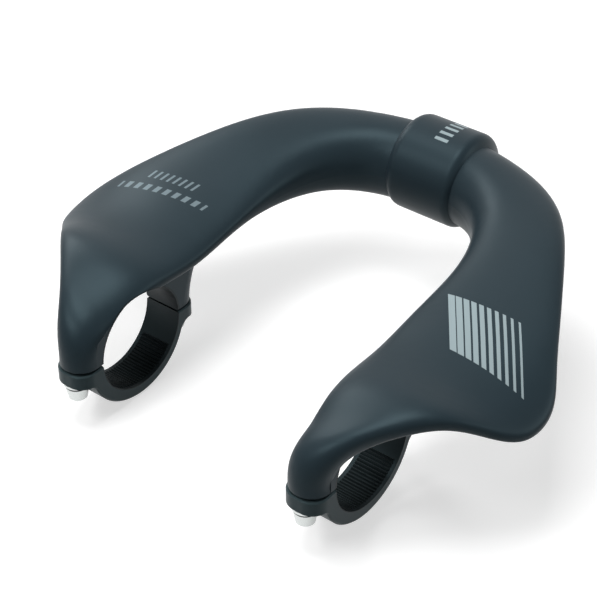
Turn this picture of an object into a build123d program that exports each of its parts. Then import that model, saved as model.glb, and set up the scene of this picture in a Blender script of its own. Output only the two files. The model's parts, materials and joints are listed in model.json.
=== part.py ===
"""Aero handlebar extension: a moulded loop that bolts to a handlebar with two clamps.

Frame: origin on the bar axis midway between the clamps, +X along the bar,
+Y forward to the grip, +Z up along the bolts. Sizes are in millimetres.
"""
from build123d import *
from math import cos, exp, pi, sin
import os

# Handlebar and clamps
bar_diameter = 31.8
clamp_spacing = 81.5
clamp_width = 12.4
bar_relief = 0.3
seam_gap = 0.6
seam_bevel = 0.4
ear_reach = 24.6
cap_ear_thickness = 4.6
cap_wall = 3.5
cap_setback = 0.9
cap_blend = 4.0
cap_corner = 5.0
cap_bevel = 0.5

# Bolts, washers and bonded inserts
bolt_offset = 20.9
bolt_diameter = 4.0
bolt_length = 12.4
bolt_chamfer = 0.5
head_diameter = 7.0
head_tip_diameter = 5.5
head_height = 5.2
socket_across_flats = 3.0
socket_depth = 2.2
washer_diameter = 7.6
washer_thickness = 0.8
insert_diameter = 5.4
insert_length = 6.0
thread_clearance = 0.05
bond_clearance = 0.05
hole_clearance = 0.25
spot_clearance = 0.3
drill_room = 0.6

# Moulded loop: heights are of the edges' middle line over the bar axis
arch_over_bar = 3.5
inner_lip = 2.0
seat_bury = 1.5
seat_flare = 6.0
wing_half_span = 82.6
wing_tip_reach = 26.5
wing_tip_height = 12.0
shoulder_height = 26.8
inner_edge_depth = 3.6
outer_edge_depth = 3.3
post_depth = 6.0
wing_crown = 4.2

# Grip at the front of the loop
grip_reach = 100.7
grip_height = 19.9
grip_diameter = 30.2
grip_length = 17.5
grip_shoulder = 7.5
shoulder_sink = 3.0
neck_diameter = 25.0
neck_setback = 1.1
neck_drop = 0.3
neck_bury = 0.5

# Places worked out from the sizes above
bar_radius = bar_diameter / 2
clamp_x = clamp_spacing / 2
clamp_inner_x = clamp_x - clamp_width / 2
clamp_outer_x = clamp_x + clamp_width / 2
post_radius = clamp_width / 2
post_y = post_radius - ear_reach
arch_height = bar_radius + arch_over_bar
neck_x = grip_length / 2 - neck_bury
neck_y = grip_reach - neck_setback
body_floor = seam_gap / 2
cap_top = -seam_gap / 2
ear_floor = cap_top - cap_ear_thickness
head_top = ear_floor - washer_thickness
cut_length = 2 * bar_diameter
sides = {"left": -1, "right": 1}
ends = {"front": 1, "rear": -1}

# Ribs of an arm: how many, how they crowd to the rear, points on half a rib, squareness
# of the wing and of the round ends; then, as parts of the arm's length, where the crown
# sits, how far the crown, the lean of the rear post and its girth spread, and where the
# arm starts to thicken to the neck; lean sharpness says how quickly the lean fades
rib_count = 18
rib_crowding = 1.5
rib_steps = 10
wing_squareness = 3.0
round_squareness = 2.0
crown_place = 0.34
crown_spread = 0.15
lean_spread = 0.066
lean_sharpness = 1.5
post_spread = 0.09
thickening_start = 0.5


def share(start, end, part):
    """Value a given part of the way from start to end."""
    return start + (end - start) * part


def ease(part):
    """Smooth step from 0 to 1."""
    part = min(max(part, 0.0), 1.0)
    return part * part * (3 - 2 * part)


def outer_points():
    """Outer edge: up the rear post, over the bar to the wing tip, then forward to the neck."""
    front_y = neck_y + neck_diameter / 2
    post = [(clamp_outer_x, post_y, body_floor), (clamp_outer_x, post_y, 0.26 * arch_height)]
    rear = [(0.03, 0.01, 0.45 * arch_height), (0.1, 0.07, 0.7 * arch_height),
            (0.31, 0.254, 0.945 * arch_height), (0.568, 0.468, arch_height),
            (0.793, 0.655, share(arch_height, wing_tip_height, 0.57)), (0.96, 0.824, wing_tip_height)]
    front = [(0.0, 0.0, 0.04), (0.054, 0.124, 0.35), (0.19, 0.337, 0.78), (0.355, 0.596, 1.0)]
    neck = [(0.518, 0.788, 0.19), (0.715, 0.912, 0.62), (1.0, 1.0, 1.0)]
    points = list(post)
    for across, along, height in rear:
        x = share(clamp_outer_x, wing_half_span, across)
        points.append((x, share(post_y, wing_tip_reach, along), height))
    spans = [(front, wing_tip_height, shoulder_height), (neck, shoulder_height, grip_height)]
    for stretch, low, high in spans:
        for across, along, rise in stretch:
            x = share(wing_half_span, neck_x, across)
            points.append((x, share(wing_tip_reach, front_y, along), share(low, high, rise)))
    return points


def inner_points():
    """Inner edge: up the rear post, along the clamp's inboard face, then round to the neck."""
    back_y = neck_y - neck_diameter / 2
    lip_x = clamp_inner_x - inner_lip
    points = [(clamp_inner_x, post_y, body_floor), (clamp_inner_x, post_y, 0.28 * bar_radius),
              (clamp_inner_x, 0.955 * post_y, 0.45 * bar_radius),
              (clamp_inner_x, 0.76 * post_y, 0.58 * bar_radius),
              (share(clamp_inner_x, lip_x, 0.25), 0.43 * post_y, 0.77 * bar_radius),
              (share(clamp_inner_x, lip_x, 0.6), 0, 0.94 * bar_radius),
              (lip_x, 0.227 * back_y, 0.94 * bar_radius)]
    forward = [(1.0, 0.473, 0.37), (0.96, 0.697, 0.6), (0.69, 0.895, 0.82)]
    for across, along, rise in forward:
        points.append((share(neck_x, lip_x, across), along * back_y, share(bar_radius, grip_height, rise)))
    points.append((neck_x, back_y, grip_height - neck_drop))
    return points


def half_rib(inner, outer, part, side):
    """Upper (side 1) or lower (side -1) half of a rib: a superellipse about a crowned chord."""
    thick = ease((part - thickening_start) / (1 - thickening_start))
    post = exp(-(part / post_spread) ** 2)
    lean = pi / 2 * exp(-(part / lean_spread) ** lean_sharpness)
    up = Vector(0, -sin(lean), cos(lean))
    power = share(wing_squareness, round_squareness, max(thick, post))
    girth = post_radius if side > 0 else post_depth
    inner_depth = share(share(inner_edge_depth, neck_diameter / 2, thick), girth, post)
    outer_depth = share(share(outer_edge_depth, neck_diameter / 2, thick), girth, post)
    crown = wing_crown * exp(-((part - crown_place) / crown_spread) ** 2)
    points = [outer]
    for step in range(1, rib_steps):
        turn = pi * step / rib_steps
        size = (abs(cos(turn)) ** power + sin(turn) ** power) ** (1 / power)
        along = cos(turn) / size
        reach = (along + 1) / 2
        lift = side * share(inner_depth, outer_depth, reach) * sin(turn) / size
        points.append(share(inner, outer, reach) + up * (lift + crown * (1 - along * along)))
    points.append(inner)
    leave = up * (side * pi * outer_depth)
    arrive = up * (-side * pi * inner_depth)
    steps = [step / rib_steps for step in range(rib_steps + 1)]
    return Edge.make_spline(points, [leave, arrive], parameters=steps, scale=False)


def arm():
    """Right arm as a closed skin over ribs and two rails, from the rear post to the neck."""
    parts = [(step / (rib_count - 1)) ** rib_crowding for step in range(rib_count)]
    outer_edge, inner_edge = Spline(*outer_points()), Spline(*inner_points())
    outer = [outer_edge @ part for part in parts]
    inner = [inner_edge @ part for part in parts]
    rails = [Edge.make_spline(edge, parameters=parts) for edge in (outer, inner)]
    halves = [[half_rib(*places, side) for places in zip(inner, outer, parts)] for side in (1, -1)]
    skins = [Face.make_gordon_surface(ribs, rails) for ribs in halves]
    lids = [Face(Wire([halves[0][end], halves[1][end]])) for end in (0, -1)]
    return Solid(Shell(skins + lids))


def seat_plan(margin=0):
    """Outline of the moulding's half of a clamp, round at both ends, grown by a margin."""
    return SlotOverall(2 * (ear_reach + margin), clamp_width + 2 * margin, rotation=90)


def cap_plan(margin=0):
    """Outline of a cap seen from above, with rounded corners, grown by a margin."""
    return RectangleRounded(clamp_width + 2 * margin, 2 * (ear_reach + margin), cap_corner + margin)


def bevel_ring(plan):
    """What a bevel takes off round a clamp's outline, from the seam upwards."""
    plug = loft([plan(-seam_bevel), Pos(0, 0, 2 * seam_bevel) * plan(seam_bevel)])
    return extrude(plan(2 * seam_bevel), 2 * seam_bevel) - plug


def clamp_seat():
    """Half-clamp block under the right arm, flaring forward from the seam into the wing."""
    crest = [(y, z + seat_bury) for x, y, z in inner_points()[1:7]]
    top = crest[-1][1]
    front = ear_reach + seat_flare
    corners = [(post_y, body_floor), *crest, (front, top), (front, body_floor)]
    block = extrude(Plane.YZ * make_face(Polyline(*corners, close=True)), clamp_width)
    levels = [(body_floor, 0), (share(body_floor, top, 0.55), 0.33 * seat_flare), (top, seat_flare)]
    plans = [Pos(0, flare / 2, height) * SlotOverall(2 * ear_reach + flare, clamp_width, rotation=90)
             for height, flare in levels]
    return (Pos(clamp_inner_x, 0, 0) * block) & (Pos(clamp_x, 0, 0) * loft(plans))


def bar(radius, start_x, end_x):
    """Round bar along the bar axis between two places."""
    return Pos((start_x + end_x) / 2, 0, 0) * Rot(0, 90, 0) * Cylinder(radius, end_x - start_x)


def insert_pocket(end):
    """Blind hole for an insert, with drill room above it."""
    depth = insert_length + drill_room
    centre = Pos(clamp_x, end * bolt_offset, body_floor + depth / 2)
    return centre * Cylinder(insert_diameter / 2 + bond_clearance, depth)


def half_body():
    """Right half of the moulding without the grip."""
    half = arm() + clamp_seat()
    half -= bar(bar_radius, clamp_inner_x, clamp_outer_x)
    for start, end in ((0, clamp_inner_x), (clamp_outer_x, wing_half_span)):
        half -= bar(bar_radius + bar_relief, start, end)
    for end in ends.values():
        half -= insert_pocket(end)
    return half - Pos(clamp_x, 0, body_floor) * bevel_ring(seat_plan)


def grip():
    """Round grip whose shoulders flare down into the necks of the arms."""
    rim = grip_diameter / 2
    root = neck_diameter / 2 - shoulder_sink
    start, end = grip_length / 2, grip_length / 2 + grip_shoulder
    flares = [Spline((side * start, rim), (side * end, root), tangents=[(side, 0), (side, 0)])
              for side in sides.values()]
    crown = Line((start, rim), (-start, rim))
    foot = Polyline((-end, root), (-end, 0), (end, 0), (end, root))
    turned = revolve(make_face([*flares, crown, foot]), Axis.X)
    return Pos(0, grip_reach, grip_height) * turned


def body():
    """Whole moulding: two mirrored arms joined by the grip."""
    half = half_body()
    return half + mirror(half, Plane.YZ) + grip()


def clamp_cap(side):
    """Lower half of a clamp: a half ring with two bored ears."""
    ring = Pos(-cap_setback, 0) * Circle(bar_radius + cap_wall)
    ears = Pos(0, cap_top - cap_ear_thickness / 2) * Rectangle(2 * ear_reach, cap_ear_thickness)
    outline = (ring + ears) - Pos(0, cap_top + cut_length / 2) * Rectangle(cut_length, cut_length)
    corners = outline.vertices().group_by(Axis.Y)[0].sort_by(Axis.X)[1:-1]
    outline = fillet(corners, cap_blend) - Circle(bar_radius)
    cap = Pos(clamp_inner_x, 0, 0) * extrude(Plane.YZ * outline, clamp_width)
    rims = [edge for face in cap.faces().filter_by(Axis.X) for edge in face.edges()]
    under = [edge for edge in rims if edge.bounding_box().max.Z < ear_floor + cap_bevel]
    cap = chamfer(under, cap_bevel)
    cap &= Pos(clamp_x, 0, -cut_length) * extrude(cap_plan(), cut_length)
    cap -= Pos(clamp_x, 0, cap_top) * mirror(bevel_ring(cap_plan), Plane.XY)
    for end in ends.values():
        axis = Pos(clamp_x, end * bolt_offset, 0)
        cap -= axis * Cylinder(bolt_diameter / 2 + hole_clearance, cut_length)
        spot = Cylinder(washer_diameter / 2 + spot_clearance, cut_length)
        cap -= axis * Pos(0, 0, ear_floor - cut_length / 2) * spot
    return cap if side > 0 else mirror(cap, Plane.YZ)


def bolt():
    """Taper-head socket screw, head down, with its seat at the washer."""
    head_end = head_top - head_height
    tip = head_top + bolt_length
    radius = bolt_diameter / 2
    outline = [(0, head_end), (head_tip_diameter / 2 - bolt_chamfer, head_end),
               (head_tip_diameter / 2, head_end + bolt_chamfer), (head_diameter / 2, head_top - bolt_chamfer),
               (head_diameter / 2, head_top), (radius, head_top), (radius, tip - bolt_chamfer),
               (radius - bolt_chamfer, tip), (0, tip)]
    screw = revolve(Plane.XZ * make_face(Polyline(*outline, close=True)), Axis.Z)
    socket = extrude(RegularPolygon(socket_across_flats / 2, 6, major_radius=False), socket_depth)
    return screw - Pos(0, 0, head_end) * socket


def washer():
    """Flat washer between the bolt head and the cap."""
    ring = Circle(washer_diameter / 2) - Circle(bolt_diameter / 2 + hole_clearance)
    return Pos(0, 0, head_top) * extrude(ring, washer_thickness)


def insert():
    """Threaded sleeve bonded into the moulding above the seam."""
    ring = Circle(insert_diameter / 2) - Circle(bolt_diameter / 2 + thread_clearance)
    return Pos(0, 0, body_floor) * extrude(ring, insert_length)


def write(shape, name):
    """Save one piece under its own name."""
    export_step(shape, f"parts/{name}.step")


if __name__ == "__main__":
    os.makedirs("parts", exist_ok=True)
    write(body(), "body")
    fasteners = {"bolt": bolt(), "washer": washer(), "insert": insert()}
    for side_name, side in sides.items():
        write(clamp_cap(side), f"clamp_cap_{side_name}")
        for end_name, end in ends.items():
            place = Pos(side * clamp_x, end * bolt_offset, 0)
            for kind, shape in fasteners.items():
                write(place * shape, f"{kind}_{side_name}_{end_name}")
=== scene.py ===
"""Looks of an aero handlebar extension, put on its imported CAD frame.

A satin moulding with printed hatch marks, black clamp caps with grooved bores, turned steel
fasteners and a plain white studio. Places are in metres, in the frame of the CAD: +X along
the handlebar, +Y forward to the grip, +Z up.
"""
import json
import math

import bmesh
import bpy
import numpy as np
from bpy.props import FloatProperty, FloatVectorProperty, IntProperty, PointerProperty
from mathutils import Matrix, Vector


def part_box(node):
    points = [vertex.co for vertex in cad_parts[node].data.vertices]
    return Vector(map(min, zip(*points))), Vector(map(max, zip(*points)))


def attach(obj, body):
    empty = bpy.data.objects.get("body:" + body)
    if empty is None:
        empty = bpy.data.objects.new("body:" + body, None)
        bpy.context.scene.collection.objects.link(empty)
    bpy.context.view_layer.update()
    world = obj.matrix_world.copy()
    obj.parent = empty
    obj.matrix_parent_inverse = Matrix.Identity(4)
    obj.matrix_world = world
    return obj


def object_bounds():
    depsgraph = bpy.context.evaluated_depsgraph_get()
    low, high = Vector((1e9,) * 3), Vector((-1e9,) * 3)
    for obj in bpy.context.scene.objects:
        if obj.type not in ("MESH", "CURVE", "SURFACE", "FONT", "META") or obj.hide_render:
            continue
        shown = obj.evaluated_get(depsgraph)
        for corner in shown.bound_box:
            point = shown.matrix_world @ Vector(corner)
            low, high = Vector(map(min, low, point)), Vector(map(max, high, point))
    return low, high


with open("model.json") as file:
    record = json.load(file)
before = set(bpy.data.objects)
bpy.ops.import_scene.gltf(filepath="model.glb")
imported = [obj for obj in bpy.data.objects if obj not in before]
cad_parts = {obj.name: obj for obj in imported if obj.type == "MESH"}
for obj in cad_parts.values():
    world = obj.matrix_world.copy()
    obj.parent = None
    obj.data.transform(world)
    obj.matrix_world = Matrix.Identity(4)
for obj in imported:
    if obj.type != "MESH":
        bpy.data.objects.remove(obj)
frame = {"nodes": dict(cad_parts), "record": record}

bl_info = {
    "name": "Aero Handlebar Extension",
    "version": (1, 0, 0),
    "blender": (4, 5, 0),
    "location": "View3D > Sidebar > Extension",
    "description": "Finishes, bore grooves and studio for an aero handlebar extension",
    "category": "Object",
}

CAD_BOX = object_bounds()
BODY = "root"
MM = 0.001


def middle(box):
    """Middle of a box given by its two corners."""
    low, high = box
    return (Vector(low) + Vector(high)) / 2


# Places and nodes taken from the frame
BAR_RADIUS = frame["record"]["mounts"][0]["dims"]["r_mm"] * MM
CAP_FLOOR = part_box("clamp_cap_right")[0].z
CAPS = [name for name in frame["nodes"] if name.startswith("clamp_cap")]
FASTENERS = [name for name in frame["nodes"] if name.split("_")[0] in ("bolt", "washer", "insert")]
BOLT_PLACE = middle(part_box("bolt_right_front"))
HEAD_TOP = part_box("washer_right_front")[0].z

# Axis of the grip, as its places along Y and Z, and its radius
GRIP_PLACE = (0.1007, 0.0199)
GRIP_RADIUS = 0.0151

# Printed rows of bars. Slant is how far a bar moves back along the row for each metre across it,
# and taper the change of the bars' width from end to end of the row, as a share of it
WING_ROW = {"Centre": (0.0575, 0.0357, 0), "Turn": math.radians(-3), "Pitch": 2.5 * MM,
            "Width": 1.5 * MM, "Taper": -1.1, "Row": 25 * MM, "Height": 18.5 * MM, "Slant": 0.78}
ARM_SHORT_ROW = {"Centre": (-0.0573, 0.0413, 0), "Turn": math.radians(7), "Pitch": 2.2 * MM,
                 "Width": 0.8 * MM, "Taper": 0.0, "Row": 17.6 * MM, "Height": 3.4 * MM, "Slant": -0.25}
ARM_LONG_ROW = {"Centre": (-0.0570, 0.0355, 0), "Turn": math.radians(7.5), "Pitch": 3.4 * MM,
                "Width": 1.7 * MM, "Taper": 0.0, "Row": 30.6 * MM, "Height": 2.6 * MM, "Slant": -0.25}
GRIP_ROW = {"Centre": (2.0 * MM, 2.0 * MM, 0), "Turn": 0.0, "Pitch": 2.8 * MM,
            "Width": 1.2 * MM, "Taper": 0.0, "Row": 16.8 * MM, "Height": 4.6 * MM, "Slant": 0.0}
# Least upward part of the normal where a row on an arm prints
LEAST_RISE = 0.3

# Grains across one patch of the slow tone, and the levels between which it takes a base colour
GRAINS_PER_PATCH = 60.0
MOULDING_TONES = (0.86, 1.14)
CAP_TONES = (0.8, 1.0)
STEEL_TONES = (0.78, 1.0)

# Turning marks: their height beside the grain's, and how far they climb along the bolt
RING_HEIGHT = 0.35
RING_CLIMB = 0.8
# Slice under the washer that the painted shade leaves out, so that the washer's own face stays bright
BRIGHT_SLICE = 0.01 * MM

# Grooved strip: points per groove, steepness of the flanks, how far the floors of the grooves stand
# out of the wall of the bore, and how far the strip reaches into that wall
POINTS_PER_GROOVE = 12
FLANK_STEEPNESS = 2.2
STRIP_PROUD = 0.02 * MM
STRIP_SUNK = 0.3 * MM

# Floor: half its side, the distances between which it turns from paper to plain white, the tone
# and glow of the paper, and the tone that lights the part from below
FLOOR_HALF = 1.5
PAPER_END, WHITE_START = 0.14, 0.4
PAPER_TONE, PAPER_GLOW = 0.58, 0.60
BOUNCE_TONE = 0.08

# Softboxes: width and height, way from the part, and distance
SOFTBOXES = {
    "top": ((0.34, 0.34), (-0.15, -0.07, 1.0), 0.75),
    "front": ((0.6, 0.5), (-0.35, 0.60, 0.72), 0.80),
    "left": ((0.28, 0.28), (-0.77, 0.20, 0.60), 0.75),
    "rear": ((0.36, 0.24), (-0.28, -0.62, 0.72), 0.75),
    "right": ((0.4, 0.3), (0.80, 0.45, 0.40), 0.80),
}

# Camera: width of its sensor in millimetres, and nearest distance that it sees
SENSOR_WIDTH = 36
NEAREST = 0.01


# Sizes and colours that a user would change

def colour(name, description, value):
    """Colour property with the usual settings."""
    return FloatVectorProperty(name=name, description=description, default=value, size=3, min=0, max=1,
                               subtype="COLOR")


def length(name, description, value):
    """Length property in metres."""
    return FloatProperty(name=name, description=description, default=value, subtype="DISTANCE",
                         unit="LENGTH", precision=5)


def share(name, description, value):
    """Property between 0 and 1."""
    return FloatProperty(name=name, description=description, default=value, min=0, max=1,
                         subtype="FACTOR")


def angle(name, description, degrees):
    """Angle property, given in degrees."""
    return FloatProperty(name=name, description=description, default=math.radians(degrees),
                         subtype="ANGLE", unit="ROTATION")


def power(name, description, watts):
    """Power property of a lamp."""
    return FloatProperty(name=name, description=description, default=watts, min=0, subtype="POWER")


class MouldingSettings(bpy.types.PropertyGroup):
    """Finish of the moulded loop and its printed marks."""
    colour: colour("Colour", "Base colour of the satin moulding", (0.013, 0.022, 0.0285))
    roughness: share("Roughness", "Mean roughness of the satin surface", 0.40)
    stray: share("Stray", "How far the roughness strays from its mean", 0.05)
    specular: share("Specular", "Strength of the reflections", 0.18)
    tint: colour("Tint", "Colour of the reflections", (0.62, 0.90, 1.0))
    grain: length("Grain", "Size of the fine surface grain", 0.35 * MM)
    grain_height: length("Grain height", "Height of the fine surface grain", 0.006 * MM)
    speck: length("Speck", "Largest radius of a dust speck", 0.14 * MM)
    speck_spacing: length("Speck spacing", "Distance between places that can hold a speck", 7 * MM)
    speck_share: share("Speck share", "Part of these places that hold one", 0.3)
    speck_cover: share("Speck cover", "How much a speck hides", 0.5)
    speck_colour: colour("Speck colour", "Colour of the dust", (0.5, 0.55, 0.56))
    # Painted shade: the bore colour darkens the half bores round the bar to near black, in place of the
    # shade inside them
    bore_shade_colour: colour("Bore colour", "Base colour of the shaded half bores", (0.004, 0.005, 0.006))
    bore_shade_rim: length("Bore rim", "Depth of shaded wall round the bar", 0.6 * MM)
    print_colour: colour("Print colour", "Colour of the bars on the wing and grip", (0.30, 0.37, 0.39))
    faint_colour: colour("Faint print colour", "Colour of the rows on the arm", (0.16, 0.205, 0.225))


class CapSettings(bpy.types.PropertyGroup):
    """Finish of the clamp caps and the grooves in their bores."""
    colour: colour("Colour", "Base colour of the anodised caps", (0.040, 0.062, 0.068))
    # Painted shade: the bore colour darkens the wall of the bores round the bar, in place of the shade
    # inside them
    bore_shade_colour: colour("Bore colour", "Base colour of the wall of the bores", (0.008, 0.011, 0.012))
    # Painted light in the grooved strips: painted shade of the bore, near black in the grooves, with the
    # lands a little lighter as a painted highlight
    land_highlight_colour: colour("Land colour", "Base colour of the highlighted lands between the grooves",
                        (0.012, 0.016, 0.017))
    groove_shade_colour: colour("Groove colour", "Base colour inside the grooves", (0.002, 0.003, 0.003))
    bore_shade_rim: length("Bore rim", "Depth of dark wall round the bar", 0.25 * MM)
    roughness: share("Roughness", "Mean roughness of the caps", 0.38)
    stray: share("Stray", "How far the roughness strays from its mean", 0.06)
    specular: share("Specular", "Strength of the reflections", 0.16)
    groove_specular: share("Groove specular", "Strength of the grooved strips' reflections", 0.07)
    tint: colour("Tint", "Colour of the reflections", (0.62, 0.90, 1.0))
    grain: length("Grain", "Size of the blasted grain", 0.18 * MM)
    grain_height: length("Grain height", "Height of the blasted grain", 0.008 * MM)
    speck: length("Speck", "Largest radius of a dust speck", 0.1 * MM)
    speck_spacing: length("Speck spacing", "Distance between places that can hold a speck", 4 * MM)
    speck_share: share("Speck share", "Part of these places that hold one", 0.2)
    speck_cover: share("Speck cover", "How much a speck hides", 0.3)
    speck_colour: colour("Speck colour", "Colour of the dust", (0.4, 0.43, 0.44))
    grooves: IntProperty(name="Grooves", description="Grooves in one bore", default=26, min=2)
    half_turn: angle("Half turn", "Grooved part of the bore, each way from its lowest line", 49.5)
    groove_depth: length("Groove depth", "Depth of a groove between two lands", 0.36 * MM)
    land: share("Land", "Part of the pitch that is land", 0.42)
    margin: length("Margin", "Plain edge of the bore beside the grooves", 0.9 * MM)


class FastenerSettings(bpy.types.PropertyGroup):
    """Finish of the bolts, washers and inserts."""
    colour: colour("Colour", "Base colour of the plain steel", (0.66, 0.69, 0.68))
    roughness: share("Roughness", "Mean roughness of the turned steel", 0.27)
    stray: share("Stray", "How far the roughness strays from its mean", 0.08)
    grain: length("Grain", "Size of the fine surface grain", 0.25 * MM)
    grain_height: length("Grain height", "Height of the fine surface grain", 0.003 * MM)
    ring: length("Ring", "Pitch of the turning marks", 0.16 * MM)
    # Painted shade: a dark band at the top of each bolt head, just under the washer, in place of the shade
    # there
    gap: length("Gap", "Height of the dark gap under the washer", 0.75 * MM)
    gap_shade_colour: colour("Gap colour", "Base colour of the gap under the washer", (0.01, 0.012, 0.013))


class StudioSettings(bpy.types.PropertyGroup):
    """Camera, lamps and floor."""
    azimuth: angle("Azimuth", "Camera's turn from straight behind the loop", 37.72)
    elevation: angle("Elevation", "Camera's height over the horizon", 36.84)
    roll: angle("Roll", "Camera's roll", 0.17)
    place: FloatVectorProperty(name="Camera place", description="Where the camera stands", size=3,
                               default=(0.2316, -0.2709, 0.2975), subtype="TRANSLATION", unit="LENGTH")
    lens: FloatProperty(name="Lens", description="Focal length in millimetres", default=101.1,
                        subtype="DISTANCE_CAMERA")
    drop: length("Drop", "Gap between the floor and the lowest point of the caps", 0.3 * MM)
    top_power: power("Top", "Power of the softbox overhead", 3.7)
    front_power: power("Front", "Power of the softbox in front", 0.5)
    left_power: power("Left", "Power of the softbox on the left", 1.8)
    rear_power: power("Rear", "Power of the softbox behind", 2.0)
    right_power: power("Right", "Power of the softbox on the right", 1.15)
    fill: share("Fill", "Strength of the even light from all round", 0.02)


# Shader building blocks

def feed(tree, item, feeds):
    """Sets a node's inputs from values, or links them from sockets."""
    for key, value in feeds.items():
        if isinstance(value, bpy.types.NodeSocket):
            tree.links.new(value, item.inputs[key])
        else:
            item.inputs[key].default_value = value


def add(tree, kind, feeds, **settings):
    """Places a shader node, sets its properties and feeds its inputs."""
    item = tree.nodes.new(kind)
    for key, value in settings.items():
        setattr(item, key, value)
    feed(tree, item, feeds)
    return item


def maths(tree, operation, *feeds):
    """Result of a Math node."""
    return add(tree, "ShaderNodeMath", dict(enumerate(feeds)), operation=operation).outputs[0]


def product(tree, first, *others):
    """Product of several values."""
    for other in others:
        first = maths(tree, "MULTIPLY", first, other)
    return first


def parts(tree, vector):
    """The three parts of a vector."""
    return add(tree, "ShaderNodeSeparateXYZ", {0: vector}).outputs


def reach(tree, first, second):
    """Distance from an axis, from the two places across it."""
    squares = maths(tree, "ADD", product(tree, first, first), product(tree, second, second))
    return maths(tree, "SQRT", squares)


def mixed(tree, mask, first, second):
    """Colour that goes from the first to the second with a mask."""
    feeds = {"Factor": mask, 6: first, 7: second}
    return add(tree, "ShaderNodeMix", feeds, data_type="RGBA").outputs[2]


def spread(tree, value, low, high):
    """Value from 0 to 1 stretched to run from low to high."""
    return add(tree, "ShaderNodeMapRange", {"Value": value, "To Min": low, "To Max": high}).outputs[0]


def group(name, inputs, outputs, fill):
    """Shader node group whose tree is filled by a function that returns its output sockets."""
    tree = bpy.data.node_groups.new(name, "ShaderNodeTree")
    for label, kind in inputs.items():
        tree.interface.new_socket(label, in_out="INPUT", socket_type=kind)
    for label in outputs:
        tree.interface.new_socket(label, in_out="OUTPUT", socket_type="NodeSocketFloat")
    source = tree.nodes.new("NodeGroupInput")
    sink = tree.nodes.new("NodeGroupOutput")
    feed(tree, sink, fill(tree, source.outputs))
    return tree


def place(tree, shared, feeds):
    """Puts a node group into a material and gives its outputs."""
    return add(tree, "ShaderNodeGroup", feeds, node_tree=shared).outputs


def fill_grain(tree, feeds):
    """Fine grain as a height, and its slow change over the surface as a tone."""
    fine = maths(tree, "DIVIDE", 1.0, feeds["Size"])
    slow = maths(tree, "DIVIDE", fine, GRAINS_PER_PATCH)
    grain = add(tree, "ShaderNodeTexNoise", {"Vector": feeds["Place"], "Scale": fine, "Detail": 3.0})
    tone = add(tree, "ShaderNodeTexNoise", {"Vector": feeds["Place"], "Scale": slow, "Detail": 4.0})
    return {"Height": grain.outputs[0], "Tone": tone.outputs[0]}


def fill_specks(tree, feeds):
    """Sparse round specks of random size and strength, in a few cells of a Voronoi pattern."""
    scale = maths(tree, "DIVIDE", 1.0, feeds["Spacing"])
    cells = add(tree, "ShaderNodeTexVoronoi", {"Vector": feeds["Place"], "Scale": scale})
    lots = add(tree, "ShaderNodeSeparateColor", {0: cells.outputs["Color"]}).outputs
    radius = product(tree, feeds["Radius"], lots[1], scale)
    inside = maths(tree, "LESS_THAN", cells.outputs["Distance"], radius)
    chosen = maths(tree, "LESS_THAN", lots[0], feeds["Share"])
    return {"Mask": product(tree, inside, chosen, lots[2])}


def fill_hatch(tree, feeds):
    """Row of slanted bars, with one bar in the middle of each pitch of the distance along the row."""
    shift = {0: feeds["Place"], 1: feeds["Centre"]}
    near = add(tree, "ShaderNodeVectorMath", shift, operation="SUBTRACT").outputs[0]
    turn = {"Vector": near, "Angle": maths(tree, "MULTIPLY", feeds["Turn"], -1.0)}
    flat = add(tree, "ShaderNodeVectorRotate", turn, rotation_type="Z_AXIS").outputs[0]
    along, across, _ = parts(tree, flat)
    lean = maths(tree, "MULTIPLY_ADD", across, feeds["Slant"], along)
    part = maths(tree, "DIVIDE", lean, feeds["Row"])
    pitches = maths(tree, "DIVIDE", maths(tree, "ADD", lean, feeds["Row"]), feeds["Pitch"])
    off_middle = maths(tree, "SUBTRACT", maths(tree, "FRACT", pitches), 0.5)
    distance = product(tree, maths(tree, "ABSOLUTE", off_middle), feeds["Pitch"])
    width = product(tree, feeds["Width"], maths(tree, "MULTIPLY_ADD", part, feeds["Taper"], 1.0))
    half_height = maths(tree, "MULTIPLY", feeds["Height"], 0.5)
    in_bar = maths(tree, "LESS_THAN", distance, maths(tree, "MULTIPLY", width, 0.5))
    in_row = maths(tree, "LESS_THAN", maths(tree, "ABSOLUTE", part), 0.5)
    in_height = maths(tree, "LESS_THAN", maths(tree, "ABSOLUTE", across), half_height)
    return {"Mask": product(tree, in_bar, in_row, in_height)}


def socket_kinds(vectors, values):
    """Names of a group's inputs with the kind of socket of each."""
    return {**dict.fromkeys(vectors, "NodeSocketVector"), **dict.fromkeys(values, "NodeSocketFloat")}


GRAIN = group("fine_grain", socket_kinds(["Place"], ["Size"]), ["Height", "Tone"], fill_grain)
SPECKS = group("dust_specks", socket_kinds(["Place"], ["Spacing", "Radius", "Share"]), ["Mask"],
               fill_specks)
HATCH_VALUES = ["Turn", "Pitch", "Width", "Taper", "Row", "Height", "Slant"]
HATCH = group("hatch_marks", socket_kinds(["Place", "Centre"], HATCH_VALUES), ["Mask"], fill_hatch)


def material(name):
    """New material with its tree, its Principled shader and the Object coordinates."""
    finish = bpy.data.materials.new(name)
    finish.use_nodes = True
    tree = finish.node_tree
    shader = tree.nodes["Principled BSDF"]
    spot = add(tree, "ShaderNodeTexCoord", {}).outputs["Object"]
    return finish, tree, shader, spot


def solid(value, level=1.0):
    """Colour at a level of its brightness, with full alpha."""
    return (*(level * part for part in value), 1.0)


def toned(tree, tone, value, levels):
    """Colour that a slow tone takes from one level of brightness to another."""
    low, high = levels
    return mixed(tree, tone, solid(value, low), solid(value, high))


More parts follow.
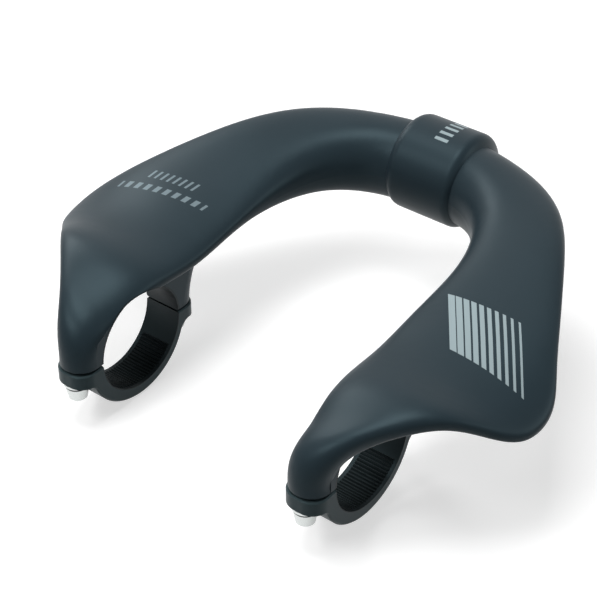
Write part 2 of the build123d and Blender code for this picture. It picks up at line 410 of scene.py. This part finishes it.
def dusted(tree, spot, base, look):
    """Colour with sparse specks of dust on it."""
    feeds = {"Place": spot, "Spacing": look.speck_spacing, "Radius": look.speck, "Share": look.speck_share}
    specks = place(tree, SPECKS, feeds)["Mask"]
    return mixed(tree, product(tree, specks, look.speck_cover), base, solid(look.speck_colour))


def near_bar(tree, spot, radius):
    """1 within a radius of the bar's axis."""
    _, y, z = parts(tree, spot)
    return maths(tree, "LESS_THAN", reach(tree, y, z), radius)


def uneven(tree, tone, look):
    """Roughness that strays from its mean with a slow tone."""
    return spread(tree, tone, look.roughness - look.stray, look.roughness + look.stray)


def bumped(tree, height, distance):
    """Normal bent by a height pattern."""
    feeds = {"Height": height, "Distance": distance, "Strength": 1.0}
    return add(tree, "ShaderNodeBump", feeds).outputs[0]


def dress(names, finish):
    """Gives CAD nodes a material."""
    if not names:
        raise RuntimeError(f"the frame has no node for {finish.name}")
    for name in names:
        slots = frame["nodes"][name].data.materials
        slots.clear()
        slots.append(finish)


# Pieces

def printed_rows(tree, spot):
    """Masks of the bold bars on the wing and grip, and of the faint rows on the arm.

    The rows of wing and arm are printed straight down, on what looks up. The row of the grip is
    wrapped round it: the distance along it is the turn round the grip's axis times its radius.
    """
    normal = add(tree, "ShaderNodeNewGeometry", {}).outputs["Normal"]
    on_top = maths(tree, "GREATER_THAN", parts(tree, normal)[2], LEAST_RISE)
    wing = place(tree, HATCH, {"Place": spot, **WING_ROW})["Mask"]
    short_row = place(tree, HATCH, {"Place": spot, **ARM_SHORT_ROW})["Mask"]
    long_row = place(tree, HATCH, {"Place": spot, **ARM_LONG_ROW})["Mask"]
    x, y, z = parts(tree, spot)
    grip_y, grip_z = GRIP_PLACE
    forward = maths(tree, "SUBTRACT", y, grip_y)
    turn = maths(tree, "ARCTAN2", forward, maths(tree, "SUBTRACT", z, grip_z))
    wrapped = {0: product(tree, turn, GRIP_RADIUS), 1: x}
    round_grip = add(tree, "ShaderNodeCombineXYZ", wrapped).outputs[0]
    grip = place(tree, HATCH, {"Place": round_grip, **GRIP_ROW})["Mask"]
    near_grip = maths(tree, "GREATER_THAN", y, grip_y - GRIP_RADIUS)
    bold = maths(tree, "ADD", product(tree, wing, on_top), product(tree, grip, near_grip))
    faint = product(tree, maths(tree, "ADD", short_row, long_row), on_top)
    return bold, faint


class MouldingFinish(bpy.types.Operator):
    """Give the moulded loop its satin finish and printed marks"""
    bl_idname = "extension.moulding"
    bl_label = "Moulding finish"

    def execute(self, context):
        look = context.scene.extension_moulding
        finish, tree, shader, spot = material("satin_moulding")
        grain = place(tree, GRAIN, {"Place": spot, "Size": look.grain})
        in_bore_shade = near_bar(tree, spot, BAR_RADIUS + look.bore_shade_rim)
        bold, faint = printed_rows(tree, spot)
        base = toned(tree, grain["Tone"], look.colour, MOULDING_TONES)
        # Painted shade: near the bar the half bores take a near black colour in place of their shade
        base = mixed(tree, in_bore_shade, base, solid(look.bore_shade_colour))
        base = mixed(tree, faint, base, solid(look.faint_colour))
        base = mixed(tree, bold, base, solid(look.print_colour))
        feed(tree, shader, {"Base Color": dusted(tree, spot, base, look),
                            "Roughness": uneven(tree, grain["Tone"], look),
                            "Specular IOR Level": look.specular,
                            "Specular Tint": solid(look.tint),
                            "Normal": bumped(tree, grain["Height"], look.grain_height)})
        dress(["body"], finish)
        return {"FINISHED"}


def blasted(name, tone, wall, radius, specular, look):
    """Black metal with a blasted grain and a little dust, in a wall tone within a radius of the bar:
    painted shade on the walls of the cap bores, and a painted highlight on the lands of the grooved
    strips.
    """
    finish, tree, shader, spot = material(name)
    grain = place(tree, GRAIN, {"Place": spot, "Size": look.grain})
    base = toned(tree, grain["Tone"], tone, CAP_TONES)
    base = mixed(tree, near_bar(tree, spot, radius), base, solid(wall))
    feed(tree, shader, {"Base Color": dusted(tree, spot, base, look),
                        "Roughness": uneven(tree, grain["Tone"], look),
                        "Specular IOR Level": specular,
                        "Specular Tint": solid(look.tint),
                        "Normal": bumped(tree, grain["Height"], look.grain_height)})
    return finish


class CapFinish(bpy.types.Operator):
    """Give the clamp caps their black finish"""
    bl_idname = "extension.caps"
    bl_label = "Cap finish"

    def execute(self, context):
        look = context.scene.extension_caps
        # Painted shade on the wall of the bores, within the rim round the bar
        rim = BAR_RADIUS + look.bore_shade_rim
        finish = blasted("black_anodised_cap", look.colour, look.bore_shade_colour, rim, look.specular, look)
        dress(CAPS, finish)
        return {"FINISHED"}


def groove_strip(low_x, high_x, look):
    """Points and faces of a grooved strip on the wall of a bore.

    The strip is a closed loop of four corners (x, r) carried round the turn t, where y = r sin t and
    z = -r cos t. Its outer radius lies inside the wall. Its inner radius is just less than the bore's,
    less the groove depth times a wave that is 0 in a groove and 1 on a land, with straight flanks
    between them. The ends slope inwards by the groove depth.
    """
    steps = look.grooves * POINTS_PER_GROOVE + 1
    turn = np.linspace(-look.half_turn, look.half_turn, steps)
    wave = np.linspace(0, look.grooves, steps) % 1.0
    groove = 1 - look.land
    off_groove = np.abs(wave - 0.5) * 2 - groove
    rise = np.clip(off_groove / groove * FLANK_STEEPNESS + 0.5, 0, 1)
    inner = BAR_RADIUS - look.groove_depth * rise - STRIP_PROUD
    outer = np.full_like(inner, BAR_RADIUS + STRIP_SUNK)
    bevel = look.groove_depth
    places = (low_x, low_x + bevel, high_x - bevel, high_x)
    xs = np.stack([np.full_like(inner, x) for x in places], 1)
    radii = np.stack([outer, inner, inner, outer], 1)
    ys = radii * np.sin(turn)[:, None]
    zs = -radii * np.cos(turn)[:, None]
    points = np.stack([xs, ys, zs], 2).reshape(-1, 3)
    index = np.arange(len(points)).reshape(radii.shape)
    beside = np.roll(index, -1, axis=1)
    walls = np.stack([index[:-1], beside[:-1], beside[1:], index[1:]], 2).reshape(-1, 4)
    lids = np.stack([index[0, ::-1], index[-1]])
    return points, np.concatenate([walls, lids])


def new_piece(name, points, faces, finish):
    """Mesh object at the origin that rides on the part and takes a material."""
    mesh = bpy.data.meshes.new(name)
    mesh.from_pydata(points.tolist(), [], faces.tolist())
    shell = bmesh.new()
    shell.from_mesh(mesh)
    bmesh.ops.recalc_face_normals(shell, faces=shell.faces)
    shell.to_mesh(mesh)
    shell.free()
    mesh.materials.append(finish)
    piece = bpy.data.objects.new(name, mesh)
    bpy.context.scene.collection.objects.link(piece)
    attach(piece, BODY)


class BoreGrooves(bpy.types.Operator):
    """Add the grooved strips inside the bores of the caps"""
    bl_idname = "extension.grooves"
    bl_label = "Bore grooves"

    def execute(self, context):
        look = context.scene.extension_caps
        if not CAPS:
            raise RuntimeError("the frame has no clamp caps for the grooves")
        # The strips take painted shade, darkest in the grooves, with the lands a little lighter as a
        # painted highlight
        half_deep = BAR_RADIUS - look.groove_depth / 2
        finish = blasted("black_bore", look.groove_shade_colour, look.land_highlight_colour, half_deep,
                         look.groove_specular, look)
        for cap in CAPS:
            low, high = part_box(cap)
            points, faces = groove_strip(low.x + look.margin, high.x - look.margin, look)
            new_piece(cap.replace("clamp_cap", "bore_grooves"), points, faces, finish)
        return {"FINISHED"}


class FastenerFinish(bpy.types.Operator):
    """Give the bolts, washers and inserts their turned steel finish"""
    bl_idname = "extension.fasteners"
    bl_label = "Fastener finish"

    def execute(self, context):
        look = context.scene.extension_fasteners
        finish, tree, shader, spot = material("turned_steel")
        x, y, z = parts(tree, spot)
        # Turning marks are rings round the axis of the nearest bolt that climb along it
        side = maths(tree, "SUBTRACT", maths(tree, "ABSOLUTE", x), abs(BOLT_PLACE.x))
        end = maths(tree, "SUBTRACT", maths(tree, "ABSOLUTE", y), abs(BOLT_PLACE.y))
        climb = maths(tree, "MULTIPLY", z, RING_CLIMB)
        depth = maths(tree, "ADD", reach(tree, side, end), climb)
        rings = maths(tree, "SINE", maths(tree, "MULTIPLY", depth, math.tau / look.ring))
        grain = place(tree, GRAIN, {"Place": spot, "Size": look.grain})
        marks = maths(tree, "ADD", maths(tree, "MULTIPLY", rings, RING_HEIGHT), grain["Height"])
        # Painted shade: a dark band at the top of the heads, just under the washers
        below_gap_shade = maths(tree, "LESS_THAN", z, HEAD_TOP - look.gap)
        below_washer = maths(tree, "LESS_THAN", z, HEAD_TOP - BRIGHT_SLICE)
        in_gap_shade = maths(tree, "SUBTRACT", below_washer, below_gap_shade)
        base = toned(tree, grain["Tone"], look.colour, STEEL_TONES)
        feed(tree, shader, {"Base Color": mixed(tree, in_gap_shade, base, solid(look.gap_shade_colour)),
                            "Metallic": 1.0,
                            "Roughness": uneven(tree, grain["Tone"], look),
                            "Normal": bumped(tree, marks, look.grain_height)})
        dress(FASTENERS, finish)
        return {"FINISHED"}


# Studio

def lamp(name, watts, size, way, distance):
    """Softbox that looks at the middle of the part from one way off."""
    data = bpy.data.lights.new(name, "AREA")
    data.energy = watts
    data.shape = "RECTANGLE"
    data.size, data.size_y = size
    item = bpy.data.objects.new(name, data)
    way = Vector(way).normalized()
    item.location = middle(CAD_BOX) + way * distance
    item.rotation_euler = (-way).to_track_quat("-Z", "Y").to_euler()
    bpy.context.scene.collection.objects.link(item)


def seen_ray(tree):
    """1 for rays that show the background: straight from the camera, mirrored or through glass."""
    path = add(tree, "ShaderNodeLightPath", {}).outputs
    seen = maths(tree, "MAXIMUM", path["Is Camera Ray"], path["Is Glossy Ray"])
    return maths(tree, "MAXIMUM", seen, path["Is Transmission Ray"])


class Studio(bpy.types.Operator):
    """Build the floor, the lamps and the camera"""
    bl_idname = "extension.studio"
    bl_label = "Studio"

    def execute(self, context):
        look = context.scene.extension_studio
        self.floor(look)
        self.world(context, look)
        for side, (size, way, distance) in SOFTBOXES.items():
            lamp(f"{side}_softbox", getattr(look, f"{side}_power"), size, way, distance)
        self.camera(context, look)
        context.scene.view_settings.view_transform = "Standard"
        return {"FINISHED"}

    def floor(self, look):
        """Square floor under the caps: paper that takes the shadow near the part, and white far off."""
        corners = np.array([(-1, -1), (1, -1), (1, 1), (-1, 1)]) * FLOOR_HALF
        points = np.column_stack([corners, np.full(4, CAP_FLOOR - look.drop)])
        mesh = bpy.data.meshes.new("floor")
        mesh.from_pydata(points.tolist(), [], [(0, 1, 2, 3)])
        finish, tree, shader, spot = material("white_floor")
        tree.nodes.remove(shader)
        seen = seen_ray(tree)
        distance = add(tree, "ShaderNodeVectorMath", {0: spot}, operation="LENGTH").outputs["Value"]
        ends = {"Value": distance, "From Min": PAPER_END, "From Max": WHITE_START}
        far = add(tree, "ShaderNodeMapRange", ends).outputs[0]
        lit = spread(tree, seen, BOUNCE_TONE, spread(tree, far, PAPER_TONE, 0.0))
        paper = add(tree, "ShaderNodeBsdfDiffuse", {"Color": lit}).outputs[0]
        white = product(tree, seen, spread(tree, far, PAPER_GLOW, 1.0))
        glow = add(tree, "ShaderNodeEmission", {"Strength": white}).outputs[0]
        both = add(tree, "ShaderNodeAddShader", {0: paper, 1: glow}).outputs[0]
        feed(tree, tree.nodes["Material Output"], {"Surface": both})
        mesh.materials.append(finish)
        item = bpy.data.objects.new("floor", mesh)
        bpy.context.scene.collection.objects.link(item)

    def world(self, context, look):
        """White to rays that show the background, and a dim even light to the others."""
        sky = bpy.data.worlds.new("white_studio")
        sky.use_nodes = True
        tree = sky.node_tree
        level = maths(tree, "MAXIMUM", seen_ray(tree), look.fill)
        feed(tree, tree.nodes["Background"], {"Strength": level, "Color": (1, 1, 1, 1)})
        context.scene.world = sky

    def camera(self, context, look):
        """Camera at its place, turned by azimuth, elevation and roll."""
        data = bpy.data.cameras.new("camera")
        data.sensor_fit = "HORIZONTAL"
        data.sensor_width = SENSOR_WIDTH
        data.lens = look.lens
        data.clip_start = NEAREST
        back = Vector((math.sin(look.azimuth) * math.cos(look.elevation),
                       -math.cos(look.azimuth) * math.cos(look.elevation),
                       math.sin(look.elevation)))
        right = Vector((math.cos(look.azimuth), math.sin(look.azimuth), 0))
        axes = Matrix((right, back.cross(right), back)).transposed()
        turned = axes @ Matrix.Rotation(look.roll, 3, "Z")
        item = bpy.data.objects.new("camera", data)
        item.matrix_world = Matrix.Translation(Vector(look.place)) @ turned.to_4x4()
        context.scene.collection.objects.link(item)
        context.scene.camera = item


class ExtensionPanel(bpy.types.Panel):
    """Steps and sizes of the extension's looks"""
    bl_idname = "VIEW3D_PT_extension"
    bl_label = "Aero handlebar extension"
    bl_space_type = "VIEW_3D"
    bl_region_type = "UI"
    bl_category = "Extension"

    def draw(self, context):
        for step in STEPS:
            self.layout.operator(step.bl_idname)
        for name, settings in SETTINGS.items():
            box = self.layout.box()
            for key in settings.__annotations__:
                box.prop(getattr(context.scene, name), key)


SETTINGS = {
    "extension_moulding": MouldingSettings,
    "extension_caps": CapSettings,
    "extension_fasteners": FastenerSettings,
    "extension_studio": StudioSettings,
}
STEPS = (MouldingFinish, CapFinish, BoreGrooves, FastenerFinish, Studio)
CLASSES = (*SETTINGS.values(), *STEPS, ExtensionPanel)


def register():
    """Registers the classes and puts their settings on the scene."""
    for item in CLASSES:
        bpy.utils.register_class(item)
    for name, settings in SETTINGS.items():
        setattr(bpy.types.Scene, name, PointerProperty(type=settings))


def unregister():
    """Takes the settings and classes away again."""
    for name in SETTINGS:
        delattr(bpy.types.Scene, name)
    for item in reversed(CLASSES):
        bpy.utils.unregister_class(item)


def main():
    """Runs every step in order."""
    register()
    bpy.ops.extension.moulding()
    bpy.ops.extension.caps()
    bpy.ops.extension.grooves()
    bpy.ops.extension.fasteners()
    bpy.ops.extension.studio()


if __name__ == "__main__":
    main()
